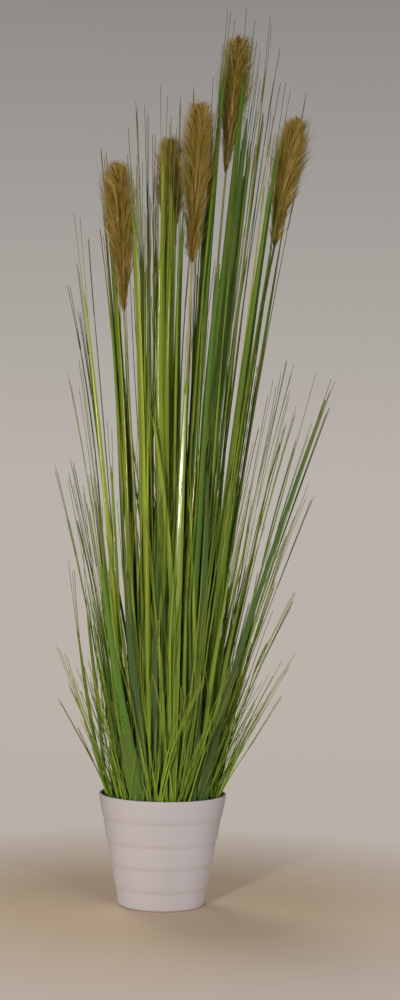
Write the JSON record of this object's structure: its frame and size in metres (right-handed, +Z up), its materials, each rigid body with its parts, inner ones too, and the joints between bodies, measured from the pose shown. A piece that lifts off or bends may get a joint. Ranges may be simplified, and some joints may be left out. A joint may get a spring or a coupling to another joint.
{
  "type": "potted ornamental grass",
  "caption": "Tall ornamental grass with long pointed blades and soft plumes, planted in a round white pot with stepped bands.",
  "frame": {"origin": "centre of the pot's flat underside, on the surface it stands on", "axes": "+Z up along the pot's axis, -Y towards the front, +X to the right as seen from the front"},
  "size_m": [0.3615, 0.3095, 1.195],
  "materials": {
    "pot_white": "satin off-white",
    "fill_dark": "crumbled, matt",
    "stem_green": "satin olive green",
    "plume_hair": "soft hair, olive brown",
    "blade_tall": "semi-gloss green",
    "blade_middle": "semi-gloss green",
    "blade_short": "semi-gloss light green"
  },
  "bodies": {
    "root": {"grass_middle_01": "blade_middle", "grass_middle_02": "blade_middle", "grass_middle_03": "blade_middle", "grass_middle_04": "blade_middle", "grass_middle_05": "blade_middle", "grass_middle_06": "blade_middle", "grass_middle_07": "blade_middle", "grass_middle_08": "blade_middle", "grass_middle_09": "blade_middle", "grass_middle_10": "blade_middle", "grass_middle_11": "blade_middle", "grass_middle_12": "blade_middle", "grass_middle_13": "blade_middle", "grass_middle_14": "blade_middle", "grass_middle_15": "blade_middle", "grass_short_01": "blade_short", "grass_short_02": "blade_short", "grass_short_03": "blade_short", "grass_short_04": "blade_short", "grass_short_05": "blade_short", "grass_short_06": "blade_short", "grass_short_07": "blade_short", "grass_short_08": "blade_short", "grass_short_09": "blade_short", "grass_short_10": "blade_short", "grass_short_11": "blade_short", "grass_short_12": "blade_short", "grass_tall_01": "blade_tall", "grass_tall_02": "blade_tall", "grass_tall_03": "blade_tall", "grass_tall_04": "blade_tall", "grass_tall_05": "blade_tall", "grass_tall_06": "blade_tall", "grass_tall_07": "blade_tall", "grass_tall_08": "blade_tall", "grass_tall_09": "blade_tall", "grass_tall_10": "blade_tall", "grass_tall_11": "blade_tall", "grass_tall_12": "blade_tall", "grass_tall_13": "blade_tall", "grass_tall_14": "blade_tall", "grass_tall_15": "blade_tall", "grass_tall_16": "blade_tall", "grass_tall_17": "blade_tall", "grass_tall_18": "blade_tall", "grass_tall_19": "blade_tall", "grass_tall_20": "blade_tall", "grass_tall_21": "blade_tall", "plume_1": "plume_hair", "plume_2": "plume_hair", "plume_3": "plume_hair", "plume_4": "plume_hair", "plume_5": "plume_hair", "plume_stem_1": "stem_green", "plume_stem_2": "stem_green", "plume_stem_3": "stem_green", "plume_stem_4": "stem_green", "plume_stem_5": "stem_green", "pot": "pot_white", "potting_fill": "fill_dark"}
  },
  "joints": []
}
